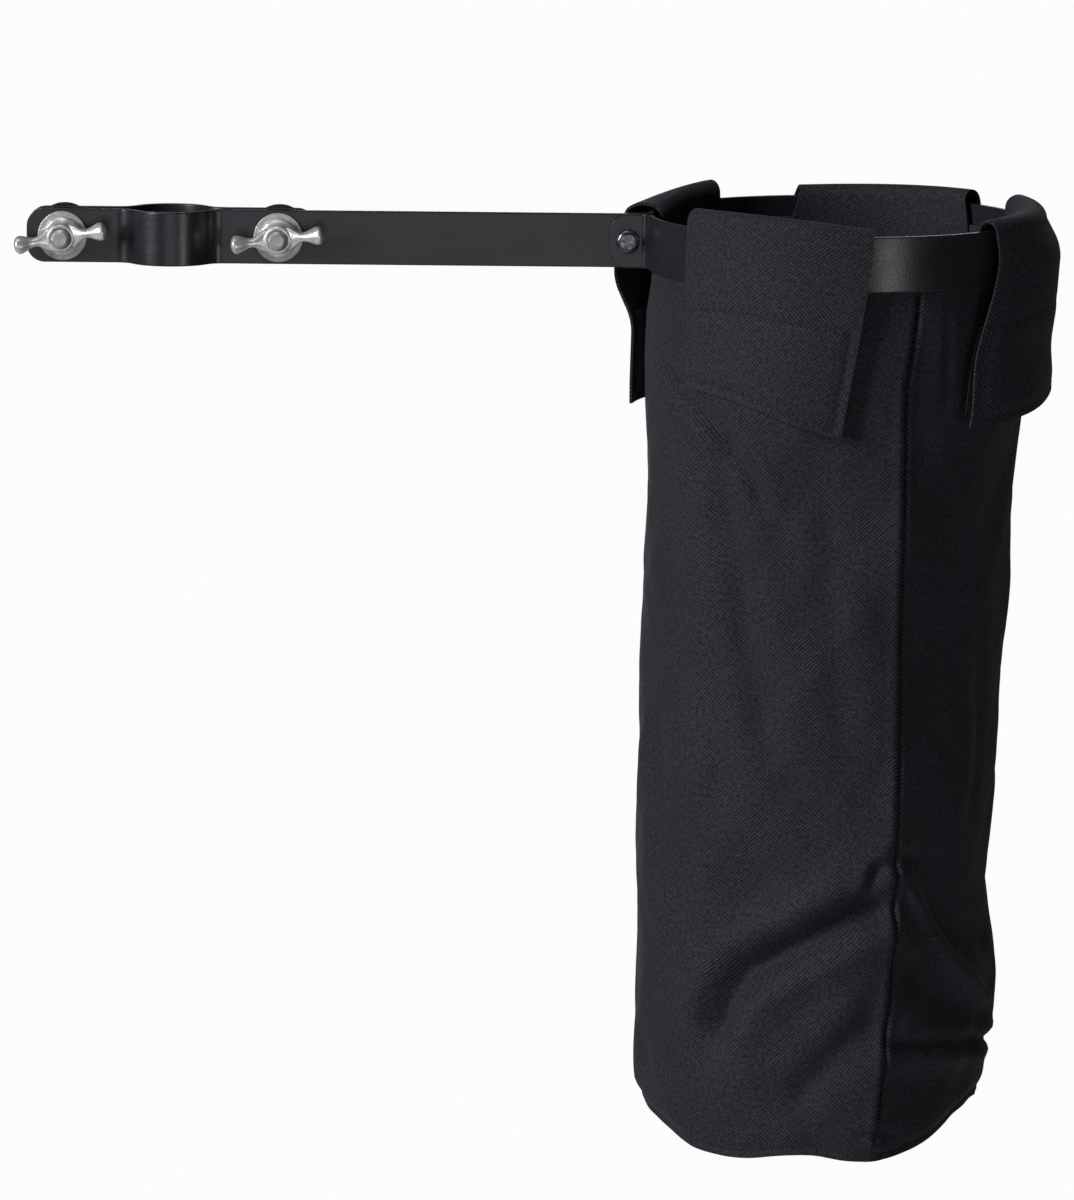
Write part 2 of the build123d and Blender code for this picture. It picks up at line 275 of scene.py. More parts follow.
def woven_polyester(name, dark, light, thread, depth=0.00022, rough=0.78, sheen=0.1):
    """
    Black polyester oxford: a basket of flat yarns, drawn at the given thread spacing in metres so
    that it still shows, with slubs, a faint purple cast and a soft sheen off the yarns. The floats
    of a plain weave line up along both diagonals; where the cloth is pulled a little off square one
    of the two shows more, so a broad noise leans the pattern to one diagonal or the other.
    """
    material, tree, shader = new_material(
        name, Roughness=rough, Sheen_Weight=sheen, Sheen_Roughness=0.45, Specular_IOR_Level=0.3)
    shader.inputs["Sheen Tint"].default_value = paint_colour("#d2cad8")
    uv = node(tree, "ShaderNodeUVMap", uv_map="cloth_uv").outputs["UV"]
    wobble = node(tree, "ShaderNodeTexNoise", {"Vector": uv, "Scale": 260.0, "Detail": 3.0})
    shift = node(tree, "ShaderNodeVectorMath", {0: wobble.outputs["Color"], "Scale": 1.5 * thread},
                 operation="SCALE")
    laid = node(tree, "ShaderNodeVectorMath", {0: uv, 1: shift.outputs["Vector"]}, operation="ADD")
    parts = node(tree, "ShaderNodeSeparateXYZ", {"Vector": laid.outputs["Vector"]})

    def diagonal(way):
        """Waves across one diagonal of the weave."""
        slope = node(tree, "ShaderNodeMath", {0: parts.outputs["X"], 1: way * 0.92, 2: parts.outputs["Y"]},
                     operation="MULTIPLY_ADD")
        scaled = node(tree, "ShaderNodeMath", {0: slope.outputs[0], 1: math.pi / thread},
                      operation="MULTIPLY")
        return node(tree, "ShaderNodeMath", {0: scaled.outputs[0]}, operation="COSINE").outputs[0]

    lean = node(tree, "ShaderNodeTexNoise", {"Vector": uv, "Scale": 45.0, "Detail": 2.0})
    lean = node(tree, "ShaderNodeMapRange",
                {"Value": lean.outputs["Fac"], "From Min": 0.36, "From Max": 0.64})
    weave = node(tree, "ShaderNodeMix", {0: lean.outputs["Result"], 2: diagonal(1.0), 3: diagonal(-1.0)})
    slub = node(tree, "ShaderNodeTexNoise", {"Vector": uv, "Scale": 800.0, "Detail": 3.0})
    raised = node(tree, "ShaderNodeMapRange",
                  {"Value": weave.outputs[0], "From Min": -1.2, "From Max": 1.2})
    mixed = node(tree, "ShaderNodeMath", {0: slub.outputs["Fac"], 1: 1.7, 2: raised.outputs["Result"]},
                 operation="MULTIPLY_ADD")
    cast = node(tree, "ShaderNodeTexNoise", {"Vector": uv, "Scale": 22.0, "Detail": 4.0})
    share = node(tree, "ShaderNodeMath", {0: mixed.outputs[0], 1: 0.39}, operation="MULTIPLY")
    shade = node(tree, "ShaderNodeValToRGB", {"Fac": share.outputs[0]},
                 [(0.36, paint_colour(dark)), (0.7, paint_colour(light))])
    tint = node(tree, "ShaderNodeValToRGB", {"Fac": cast.outputs["Fac"]},
                [(0.35, (0.74, 0.72, 0.75, 1.0)), (0.7, (1.0, 0.97, 1.0, 1.0))])
    colour = node(tree, "ShaderNodeMix", {0: 1.0, 6: shade.outputs["Color"], 7: tint.outputs["Color"]},
                  data_type="RGBA", blend_type="MULTIPLY")
    bump = node(tree, "ShaderNodeBump", {"Height": mixed.outputs[0], "Strength": 0.6, "Distance": depth})
    wire(tree, shader, Base_Color=colour.outputs[2], Normal=bump.outputs["Normal"])
    return material


def tape(name, dark, light, pitch, depth):
    """Hook or loop tape: rows of tiny raised dots or fuzz on a black woven ground."""
    material, tree, shader = new_material(name, Roughness=0.85, Sheen_Weight=0.2, Sheen_Roughness=0.5)
    uv = node(tree, "ShaderNodeUVMap", uv_map="cloth_uv").outputs["UV"]
    dots = node(tree, "ShaderNodeTexVoronoi", {"Vector": uv, "Scale": 1.0 / pitch, "Randomness": 0.35})
    shade = node(tree, "ShaderNodeValToRGB", {"Fac": dots.outputs["Distance"]},
                 [(0.1, paint_colour(light)), (0.5, paint_colour(dark))])
    bump = node(tree, "ShaderNodeBump",
                {"Height": dots.outputs["Distance"], "Strength": 0.8, "Distance": depth}, invert=True)
    wire(tree, shader, Base_Color=shade.outputs["Color"], Normal=bump.outputs["Normal"])
    return material


# black polyester powder coat on steel strip: a faint orange-peel ripple and a soft, cool gloss
STEEL = coated_metal(
    "black_powder_coat", (60.0, 3.0), [(0.3, "#1f1e24"), (0.75, "#27262d")], [(0.25, 0.26), (0.8, 0.34)],
    (900.0, 2.0, 0.12, 0.0004), Roughness=0.34, Specular_IOR_Level=0.5)
# bright zinc plate: a pale, slightly cloudy metal, with casting marks on the nuts and a finer grain
# from rolling on the washers and bolts
NUT_ZINC = coated_metal(
    "zinc_die_cast_nut", (350.0, 4.0), [(0.25, "#b4b2ae"), (0.7, "#fbfaf8")], [(0.2, 0.42), (0.8, 0.26)],
    (700.0, 3.0, 0.55, 0.0002), Metallic=0.6)
BOLT_ZINC = coated_metal(
    "zinc_plated_bolt", (350.0, 4.0), [(0.25, "#a4a3a0"), (0.7, "#d2d1ce")], [(0.2, 0.42), (0.8, 0.26)],
    (2500.0, 3.0, 0.55, 0.0002), Metallic=0.6)
# oiled black oxide on steel, rubbed bright by the driver: a dark metal with sharp glints
OXIDE = coated_metal(
    "black_oxide_steel", (700.0, 3.0), [(0.35, "#4a4a50"), (0.8, "#8e8e96")], [(0.2, 0.16), (0.8, 0.28)],
    Metallic=0.85)
# the cloth shows its yarns outside; its coated back is darker, smoother and flatter
CLOTH = woven_polyester("oxford_cloth", "#060507", "#3d3843", 0.00066)
INNER_CLOTH = woven_polyester(
    "oxford_cloth_coated_back", "#0c0b0e", "#2c2930", 0.00088, 0.0001, 0.5, 0.05)
HOOK = tape("hook_tape", "#08080a", "#2b2a2e", 0.0011, 0.0006)
LOOP_FUZZ = tape("loop_tape", "#0c0b0d", "#232226", 0.0007, 0.0005)
# black bonded sewing thread, a touch glossier than the cloth round it
THREAD = new_material("black_thread", Base_Color=paint_colour("#0c0b0e"), Roughness=0.5)[0]


def finish_piece(piece, material, body, nodes=()):
    """Give a new piece its material and body, and hide the CAD nodes it takes the place of."""
    piece.data.materials.append(material)
    if body:
        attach(piece, body)
    if nodes:
        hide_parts(*nodes)


def finish_cloth(piece, material, body, nodes):
    """Finish a piece of cloth or tape, with the rims of its cut edges left sharp."""
    crisp(piece, 60)
    finish_piece(piece, material, body, nodes)


# ---- flat strips: arm, jaw and ring ----
CORNER_R = 6.0 * MM
END_EDGE_R = 0.3 * MM


def arc(centre, radius, first, last, count):
    """Points of an arc between two angles in degrees, without its own first point."""
    turn = np.radians(np.linspace(first, last, count + 1)[1:])
    return np.array(centre) + radius * np.stack([np.cos(turn), np.sin(turn)], -1)


def strip_section(edge_r=0.4 * MM, arc_steps=4):
    """
    A flat strip's section as (thickness, height) offsets: four corners, each a quarter circle with
    one more point just outside it on each flat, so that the flats shade flat.
    """
    half_t, half_h = STRIP_T / 2, STRIP_H / 2
    hold = 0.15 * MM
    points = []
    for k, (sx, sz) in enumerate(((1, 1), (-1, 1), (-1, -1), (1, -1))):
        turn = math.pi / 2 * (k + np.linspace(0, 1, arc_steps + 1))
        corner = np.array([sx * (half_t - edge_r), sz * (half_h - edge_r)])
        ring = corner + edge_r * np.stack([np.cos(turn), np.sin(turn)], -1)
        before = ring[0] - hold * np.array([-math.sin(turn[0]), math.cos(turn[0])])
        after = ring[-1] + hold * np.array([-math.sin(turn[-1]), math.cos(turn[-1])])
        points += [before, *ring, after]
    return np.array(points)


def bent_strip(name, path):
    """
    A strip carried along a path in the XY plane: the section stands across the path, its height
    shrinks round each free corner by the corner's circle, and both ends are capped.
    """
    step = np.linalg.norm(np.diff(path, axis=0), axis=1)
    place = np.concatenate([[0], np.cumsum(step)])
    to_end = np.minimum(place, place[-1] - place)
    tangent = np.gradient(path, axis=0)
    tangent /= np.linalg.norm(tangent, axis=1, keepdims=True)
    normal = np.stack([-tangent[:, 1], tangent[:, 0]], -1)
    section = strip_section()
    inside = np.clip(CORNER_R - to_end, 0, CORNER_R)
    drop = CORNER_R - np.sqrt(np.maximum(CORNER_R**2 - inside**2, 0))
    end_inset = END_EDGE_R * (1 - np.sqrt(1 - np.clip(1 - to_end / END_EDGE_R, 0, 1) ** 2))
    across = section[None, :, 0] - np.sign(section[None, :, 0]) * end_inset[:, None]
    high = section[None, :, 1] - np.sign(section[None, :, 1]) * (drop + end_inset)[:, None]
    plan = path[:, None, :] + normal[:, None, :] * across[..., None]
    points = np.concatenate([plan, high[..., None]], -1)
    rows, columns = points.shape[:2]
    faces = grid_faces(rows, columns, wrap_columns=True).tolist()
    faces.append(list(range(columns))[::-1])
    faces.append(list(range((rows - 1) * columns, rows * columns)))
    made = mesh_object(name, points.reshape(-1, 3), faces)
    tidy_mesh(made)
    return made


def end_points(start, end, count=12):
    """Points of a straight run with its first bit divided finely for rounded corners."""
    start, end = np.array(start), np.array(end)
    whole = np.linalg.norm(end - start)
    turn = np.linspace(0, math.pi / 2, count)
    near = CORNER_R * (1 - np.cos(turn))
    tip = np.array([0.0, 0.03, 0.09, 0.18, 0.3]) * MM
    along = np.unique(np.concatenate([tip, near[near > 0.35 * MM], [whole]]))
    return start + (end - start) * along[:, None] / whole


def cut_holes(piece, holes):
    """Cut round holes along Y at (x, radius) through a piece and keep their rims crisp."""
    depth = 40 * MM
    for x, radius in holes:
        profile = [(0, -depth), (radius, -depth), (radius, depth), (0, depth)]
        cutter = lathe_y("cutter", profile, (x, 0.0), 48)
        change = piece.modifiers.new("hole", "BOOLEAN")
        change.operation = "DIFFERENCE"
        change.solver = "EXACT"
        change.object = cutter
        seen = piece.evaluated_get(bpy.context.evaluated_depsgraph_get())
        mesh = bpy.data.meshes.new_from_object(seen)
        piece.modifiers.clear()
        old, piece.data = piece.data, mesh
        bpy.data.meshes.remove(old)
        bpy.data.objects.remove(cutter)
    piece.data.name = piece.name
    crisp(piece)


def crisp(piece, degrees=42.0):
    """Shade smooth everywhere but across edges sharper than the angle."""
    piece.data.polygons.foreach_set("use_smooth", np.full(len(piece.data.polygons), True))
    piece.data.set_sharp_from_angle(angle=math.radians(degrees))


FLAT_Y = ARM_BOX[1].y - STRIP_T / 2
TUBE_R = -ARM_BOX[0].y - STRIP_T
JAW_BEND_R = 7.5 * MM
JAW_END_X = -ARM_BOX[0].x
ARM_END_X = ARM_BOX[1].x
RING_NECK_R = 3.0 * MM
TAB_SLIP = 0.05 * MM
BOLT_HOLE_R = 3.3 * MM
NECK_HOLE_R = 4.4 * MM
SCREW_HOLE_R = 2.1 * MM


def jaw_path(right_end):
    """Flat, bend, half-round bulging towards -Y, bend, flat: the middle line of the clamp strip."""
    round_r = TUBE_R + STRIP_T / 2
    bend_y = -FLAT_Y + JAW_BEND_R
    reach = round_r + JAW_BEND_R
    bend_x = math.sqrt(reach**2 - bend_y**2)
    lean = math.degrees(math.asin(bend_y / reach))
    return np.concatenate([
        end_points((-JAW_END_X, FLAT_Y), (-bend_x, FLAT_Y)),
        arc((-bend_x, -bend_y), JAW_BEND_R, 90, lean, 14),
        arc((0, 0), round_r, 180 + lean, 360 - lean, 60),
        arc((bend_x, -bend_y), JAW_BEND_R, 180 - lean, 90, 14),
        end_points((right_end, FLAT_Y), (bend_x, FLAT_Y))[::-1][1:],
    ])


def ring_path():
    """Front tab, neck, the ring from the front round to the back, neck, rear tab."""
    tab_off = STRIP_T + TAB_SLIP
    neck_off = tab_off + RING_NECK_R
    lean = math.degrees(math.asin(neck_off / (RING_R + RING_NECK_R)))
    tab_x = RING_BOX[0].x
    return np.concatenate([
        end_points((tab_x, FLAT_Y - tab_off), (ARM_END_X, FLAT_Y - tab_off)),
        arc((ARM_END_X, FLAT_Y - neck_off), RING_NECK_R, 90, lean, 12),
        arc((RING_X, FLAT_Y), RING_R, 180 + lean, 540 - lean, 288),
        arc((ARM_END_X, FLAT_Y + neck_off), RING_NECK_R, -lean, -90, 12),
        end_points((tab_x, FLAT_Y + tab_off), (ARM_END_X, FLAT_Y + tab_off))[::-1][1:],
    ])


arm = bent_strip("painted_arm", jaw_path(ARM_END_X))
cut_holes(arm, [(BOLT_X["left"], BOLT_HOLE_R), (BOLT_X["right"], BOLT_HOLE_R), (SCREW_X, SCREW_HOLE_R)])
finish_piece(arm, STEEL, "arm", ["support_arm"])

jaw_line = jaw_path(JAW_END_X) * np.array([1.0, -1.0])
jaw = bent_strip("painted_jaw", jaw_line)
cut_holes(jaw, [(BOLT_X["left"], NECK_HOLE_R), (BOLT_X["right"], NECK_HOLE_R)])
finish_piece(jaw, STEEL, "rear_clamp", ["rear_jaw"])

ring = bent_strip("painted_ring", ring_path())
cut_holes(ring, [(SCREW_X, SCREW_HOLE_R)])
finish_piece(ring, STEEL, "bag", ["ring_strap"])


# ---- wing nuts and washers ----
def wing_nut(name, x, tilt, base_y):
    """
    A lathe-turned hub with a foot and a groove, and on each side a wing: an oval section carried
    outwards from the hub that rises in front of it and swells into a rounded pad. The wings are
    turned about the bolt by the tilt.
    """
    front = base_y - 8.0 * MM
    corners = [(3.06, 0.0), (6.3, 0.0), (6.5, 0.9), (6.2, 2.0), (5.3, 2.6), (5.1, 3.2), (4.95, 5.4),
               (4.6, 7.6), (4.2, 8.0), (3.7, 8.0), (3.06, 7.2), (3.06, 0.0)]
    profile = [(r * MM, base_y - h * MM) for r, h in rounded(corners, 0.35)]
    hub = lathe_y(name + "_hub", profile, (0.0, 0.0), 72)
    rows, around = 40, 28
    s = np.linspace(0, 1, rows)
    out = (3.4 + 12.1 * s) * MM
    swell = smoothstep(0.45, 0.85, s)
    close = np.sqrt(np.clip(1 - np.clip((s - 0.86) / 0.14, 0, 1) ** 2, 0, 1))
    root = 1 - smoothstep(0.0, 0.42, s)
    half_t = (1.5 + 2.4 * root + 1.5 * swell) * close * MM
    mid_y = front + (3.2 - 2.7 * s - 0.2 * swell) * MM
    half_y = (2.6 + 1.1 * s + 0.6 * swell) * (0.35 + 0.65 * close) * MM
    turn = np.linspace(0, 2 * math.pi, around, endpoint=False)[None, :]
    power = (0.75 + 0.1 * swell)[:, None]
    y = mid_y[:, None] + half_y[:, None] * np.sign(np.cos(turn)) * np.abs(np.cos(turn)) ** power
    z = half_t[:, None] * np.sign(np.sin(turn)) * np.abs(np.sin(turn)) ** power
    right = np.stack([np.broadcast_to(out[:, None], y.shape), y, z], -1)
    points, faces = [], []
    for side in (1, -1):
        first = sum(len(p) for p in points)
        points.append((right * np.array([side, 1, 1])).reshape(-1, 3))
        faces += grid_faces(rows, around, wrap_columns=True, first=first).tolist()
        faces.append([first + k for k in range(around)])
        faces.append([first + (rows - 1) * around + k for k in range(around)])
    wings = mesh_object(name, np.concatenate(points), faces)
    tidy_mesh(wings)
    for piece in (hub, wings):
        piece.data.transform(Matrix.Translation((x, 0.0, 0.0)) @ Matrix.Rotation(-tilt, 4, "Y"))
        crisp(piece, 50)
    return hub, wings


for side, tilt in (("left", 10.0), ("right", 7.0)):
    washer_low, washer_high = WASHER_BOXES[side]
    x = BOLT_X[side]
    y0, y1 = washer_low.y, washer_high.y
    edge = [(3.3 * MM, y1), (8.2 * MM, y1), (8.2 * MM, y0), (3.3 * MM, y0), (3.3 * MM, y1)]
    washer = lathe_y(f"{side}_plated_washer", rounded(edge, 0.3 * MM), (x, 0.0))
    crisp(washer, 50)
    finish_piece(washer, BOLT_ZINC, "arm", [f"{side}_front_washer"])
    hub, wings = wing_nut(f"{side}_cast_nut", x, math.radians(tilt), y0 - 0.05 * MM)
    finish_piece(hub, NUT_ZINC, f"{side}_nut")
    finish_piece(wings, NUT_ZINC, f"{side}_nut", [f"{side}_wing_nut"])


# ---- bag: one slack cloth tube, described by its radius over azimuth and height ----
# all in millimetres and degrees: azimuth 0 faces -Y and grows towards +X, and heights are counted
# from the arm's middle; distances round the bag are taken at BAG_R, and SEAM_TURN is about where
# the front seam runs
CLOTH_T = 0.9
BAG_R = 62.0
SEAM_TURN = 20.0
# the wall's half widths by height: (height, to the left, to the right, to front and back)
HALF_WIDTHS = np.array([
    (0, 61, 61, 61), (-12, 61.6, 61, 61), (-24, 63, 62.3, 62.3), (-57, 63.8, 62.9, 62.6),
    (-71, 63.4, 61.6, 62.6), (-95, 63.2, 60.3, 62.6), (-122, 62.7, 59.4, 62.6),
    (-149, 62.8, 57.6, 62.6), (-163, 63.2, 57.6, 62.4), (-191, 64.3, 56.8, 62.2),
    (-205, 64.7, 55.6, 62), (-215, 64.7, 54.6, 62), (-226, 64.6, 55.9, 62), (-240, 64.4, 57.7, 62),
    (-254, 64.2, 58, 62), (-268, 64, 57.1, 62), (-275, 63.8, 55.8, 61.6), (-289, 63.2, 54.5, 61),
    (-298, 61, 52, 60),
])
# depth of the bottom seam by azimuth
HEM_AZIMUTH = [-180, -90, -66, -53, -35, -21, -12, -3, 8.5, 27.5, 35, 52, 66, 90, 180]
HEM_DROP = [297, 294, 298, 301, 303, 301, 298.3, 299.4, 301.6, 300.4, 298.6, 294, 289, 291, 297]

# each crease: (depth, half width, (azimuth, height) corners); negative depth is a raised fold
CREASES = [
    (1.0, 1.5, [(18.8, -190), (18.2, -198), (20.4, -206)]),
    (2.6, 2.6, [(18.5, -198.5), (25, -198), (33, -202)]),
    (2.2, 2.2, [(20, -196), (13, -201), (9.6, -211)]),
    (0.5, 1.6, [(33.5, -14), (34, -49)]),
    (3.0, 3.2, [(-72, -36), (-48, -49), (-38, -58), (-29, -71), (-23, -86)]),
    (2.2, 5.5, [(-40, -56), (-35, -90), (-29, -130), (-20, -172)]),
    (-0.8, 5.0, [(-54, -62), (-50, -120), (-46, -185)]),
    (0.8, 5.0, [(-6, -66), (-2, -120), (4, -170)]),
    (5.8, 5.2, [(23, -212), (6, -217.5), (-8, -226), (-18, -231.5), (-29, -238.5), (-35, -247),
                (-42, -266)]),
    (-1.6, 7.0, [(8, -194), (-2, -208), (-18, -220), (-34, -228)]),
    (-2.4, 2.8, [(20, -202), (30, -214), (43, -234), (58, -247), (76, -258)]),
    (3.8, 6.0, [(22, -232), (40, -248), (62, -259)]),
    (2.2, 2.2, [(15, -260.5), (29, -262.5), (44, -264.5), (66, -268.5), (95, -272)]),
    (-1.2, 4.0, [(18, -267), (46, -270.5), (78, -276)]),
    (3.0, 6.0, [(19, -251), (6.5, -260), (-4.8, -273), (-15, -284)]),
    (1.4, 1.8, [(5, -294), (12.7, -291.5), (20, -292.8), (29, -296)]),
    (2.4, 6.5, [(34, -176), (32, -196), (42, -219), (57, -229), (80, -235)]),
    (-0.9, 7.0, [(-8, -232), (-24, -262), (-30, -285)]),
    (0.9, 5.0, [(-70, -150), (-62, -190), (-66, -226)]),
    (1.1, 4.0, [(56, -120), (62, -160), (56, -190)]),
    (1.2, 6.0, [(-140, -60), (-150, -130), (-146, -220)]),
    (1.4, 5.0, [(120, -90), (128, -170), (118, -240)]),
    (1.2, 7.0, [(170, -200), (-170, -226), (-150, -244)]),
]


def wrapped(azimuth):
    """An azimuth in degrees brought to the range from -180 to 180."""
    return (azimuth + 180.0) % 360.0 - 180.0


def crease_relief(azimuth, height):
    """
    Relief of all creases in mm: each is a groove along its corners, with a low shoulder on both
    sides, that fades out towards its two ends. Distances run along the cloth.
    """
    relief = np.zeros(np.broadcast(azimuth, height).shape)
    per_degree = math.radians(BAG_R)
    for depth, wide, corners in CREASES:
        corner = np.array(corners, float)
        nearest = np.full(relief.shape, 1e9)
        along = np.zeros(relief.shape)
        run = 0.0
        whole = np.hypot(*(np.diff(corner, axis=0) * [per_degree, 1]).T).sum()
        for (a0, z0), (a1, z1) in zip(corner[:-1], corner[1:]):
            dx, dz = wrapped(a1 - a0) * per_degree, z1 - z0
            px, pz = wrapped(azimuth - a0) * per_degree, height - z0
            span = math.hypot(dx, dz)
            t = np.clip((px * dx + pz * dz) / span**2, 0, 1)
            gap = np.hypot(px - t * dx, pz - t * dz)
            closer = gap < nearest
            along = np.where(closer, run + t * span, along)
            nearest = np.where(closer, gap, nearest)
            run += span
        fade = min(11.0, 0.4 * whole)
        ends = smoothstep(-1e-6, fade, along) * smoothstep(-1e-6, fade, whole - along)
        q = nearest / wide
        groove = np.exp(-q**2) - 0.3 * np.exp(-((q - 2.0) ** 2))
        relief -= depth * (0.12 + 0.88 * ends) * groove * smoothstep(0, 8, -height)
    return relief


def slack_relief(azimuth, height):
    """Low rolling relief in mm of slack cloth: a seeded sum of waves that close round the bag."""
    chance = np.random.default_rng(11)
    turn = np.radians(azimuth)
    relief = np.zeros(np.broadcast(azimuth, height).shape)
    for size, rounds, tall in ((0.42, (2, 7), 150), (0.2, (6, 15), 70), (0.09, (14, 30), 26)):
        for _ in range(7):
            k = int(chance.integers(*rounds))
            m = 2 * math.pi / (tall * chance.uniform(0.6, 1.8)) * chance.choice([-1, 1])
            relief += size * 0.6 * np.cos(k * turn + m * height + chance.uniform(0, 2 * math.pi))
    return relief * smoothstep(10, 60, -height)


def seam_relief(azimuth, height):
    """
    The front seam: a fine sharp groove, with the panel to its right tucked in behind the other and
    coming back out further round.
    """
    past = np.radians(wrapped(azimuth - seam_azimuth(height))) * BAG_R
    fade = 1 - smoothstep(284, 297, -height)
    groove = -2.8 * np.exp(-((past / 1.0) ** 2)) * smoothstep(4, 14, -height) * fade
    tuck = -2.0 * smoothstep(0, 4, past) * (1 - smoothstep(9, 42, past)) * smoothstep(12, 50, -height)
    tuck = tuck * (0.3 + 0.7 * fade)
    lip = 0.35 * np.exp(-(((past + 2.6) / 1.6) ** 2)) * smoothstep(12, 40, -height)
    return groove + tuck + lip


def facet_relief(azimuth, height):
    """
    Slack cloth hangs flatter than a circle between its folds: a parabola dips in over each span of
    the wall, and the two spans that meet at the front seam form a blunt corner there.
    """
    seam = seam_azimuth(height)
    grow = smoothstep(26, 90, -height) * (1 - 0.35 * smoothstep(270, 298, -height))
    relief = 0.0
    spans = ((3.4, -64.0, 0.0), (2.8, 0.0, 62.0), (1.2, 96.0, 150.0), (1.4, -170.0, -124.0))
    for depth, first, last in spans:
        q = (wrapped(azimuth - seam) - (first + last) / 2) / ((last - first) / 2)
        relief = relief - depth * np.clip(1 - q**2, 0, 1)
    return relief * grow


def seam_azimuth(height):
    """Azimuth of the front seam, which wanders a little down the bag."""
    down = [0, 14, 40, 100, 164, 198, 220, 237, 254, 287, 300]
    return np.interp(-height, down, [24, 23.2, 19.6, 19.4, 20.3, 19.6, 20.2, 19.3, 18.2, 15.9, 15.2])


def wall_radius(azimuth, height):
    """Outer radius of the bag in mm: an oval through the four half widths, plus all relief."""
    left, right, deep = (np.interp(-height, -HALF_WIDTHS[:, 0], HALF_WIDTHS[:, k]) for k in (1, 2, 3))
    sine = np.sin(np.radians(azimuth))
    side = np.where(sine > 0, right, left)
    oval = deep * (1 - sine**2) + side * sine**2
    under = smoothstep(0.0, 9.0, -height - hem_drop(azimuth) + 9.0)
    oval = oval - 2.2 * under**2
    relief = crease_relief(azimuth, height) + slack_relief(azimuth, height)
    return oval + relief + seam_relief(azimuth, height) + facet_relief(azimuth, height)


def hem_drop(azimuth):
    """Depth of the bottom seam below the arm's middle, in mm, smoothed round the bag."""
    spread = np.linspace(-9, 9, 7)
    return np.mean([np.interp(wrapped(azimuth + s), HEM_AZIMUTH, HEM_DROP) for s in spread], axis=0)


def on_bag(azimuth, height, radius):
    """Points in metres from azimuth in degrees, height and radius in mm."""
    turn = np.radians(azimuth)
    x = RING_X + radius * np.sin(turn) * MM
    y = RING_Y - radius * np.cos(turn) * MM
    return np.stack([x, y, np.broadcast_to(height * MM, x.shape)], -1)


def bag_azimuths(count, seam=0.0):
    """Azimuths once round the bag, closest together at the front and, if asked for, at its seam."""
    turn = np.linspace(-180, 180, 2881)
    crowd = 1 + 0.4 * np.cos(np.radians(turn)) + seam * np.exp(-((turn - SEAM_TURN) / 2.4) ** 2)
    run = np.concatenate([[0], np.cumsum((crowd[1:] + crowd[:-1]) / 2)])
    return np.interp(np.linspace(0, run[-1], count, endpoint=False), run, turn)[:, None]


def cloth_uv(azimuth, height):
    """Cloth coordinates in metres: distance round the bag and height."""
    across = np.radians(wrapped(azimuth)) * BAG_R * MM
    shape = np.broadcast(across, height).shape
    return np.stack([np.broadcast_to(across, shape), np.broadcast_to(height * MM, shape)], -1)


wall_a = bag_azimuths(262, 3.0)
wall_v = np.linspace(0, 1, 184)[None, :]
wall_z = -wall_v * hem_drop(wall_a)
follow = np.exp(-((wall_a - SEAM_TURN) / 14.0) ** 2)
wall_a = wall_a + (seam_azimuth(wall_z) - SEAM_TURN) * follow
wall_r = wall_radius(wall_a, wall_z) - CLOTH_T / 2
wall_points = on_bag(wall_a, wall_z, wall_r)
wall = cloth_shell("cloth_wall", wall_points, CLOTH_T / 2 * MM, cloth_uv(wall_a, wall_z), True)
finish_cloth(wall, CLOTH, "bag", ["bag_wall"])


def round_band(name, azimuths, loops_r, loops_z):
    """A closed band: a small closed section of (radius, height) points carried once round the bag."""
    points = on_bag(azimuths, loops_z, loops_r).reshape(-1, 3)
    uv = cloth_uv(azimuths, loops_z + loops_r).reshape(-1, 2)
    made = mesh_object(name, points, grid_faces(*loops_r.shape, True, True), uv)
    tidy_mesh(made)
    return made


def section(width, height, power, count=20):
    """A closed superellipse section of the given width and height about its own middle."""
    turn = np.linspace(0, 2 * math.pi, count, endpoint=False)[None, :]
    r = width / 2 * np.sign(np.cos(turn)) * np.abs(np.cos(turn)) ** power
    z = height / 2 * np.sign(np.sin(turn)) * np.abs(np.sin(turn)) ** power
    return r, z


band_a = bag_azimuths(248)
hem_r, hem_z = section(1.5, 6.2, 0.5)
top_hem = round_band("folded_hem", band_a, 60.5 + hem_r + 0 * band_a, -1.1 + hem_z + 0 * band_a)
finish_piece(top_hem, CLOTH, "bag", ["top_hem"])

bind_r, bind_z = section(1.3, 2.6, 0.6)
bind_mid = -hem_drop(band_a) + 0.9
bind_at = wall_radius(band_a, bind_mid) + 0.05
binding = round_band("bottom_piping", band_a, bind_at + bind_r, bind_mid + bind_z)
finish_piece(binding, CLOTH, "bag", ["bottom_binding"])

base_a = bag_azimuths(200)
base_s = np.linspace(0, 1, 48)[None, :]
base_rim = wall_radius(base_a, -hem_drop(base_a)) - 0.4
base_r = base_rim * base_s
base_wave = 1.1 * np.cos(3 * np.radians(base_a) + 1.0) + 0.7 * np.cos(5 * np.radians(base_a))
base_mid = -hem_drop(base_a) + 0.4 - 0.8 * (1 - base_s**2) + base_wave * base_s**2 * (1 - base_s)
base_mid = base_mid * base_s**2 + (-299.0) * (1 - base_s**2)
base_loop_r = np.concatenate([base_r, base_r[:, ::-1]], 1)
base_loop_z = np.concatenate([base_mid - 0.45, base_mid[:, ::-1] + 0.45], 1)
bottom = round_band("bottom_panel", base_a, base_loop_r, base_loop_z)
finish_cloth(bottom, CLOTH, "bag", ["bag_bottom"])

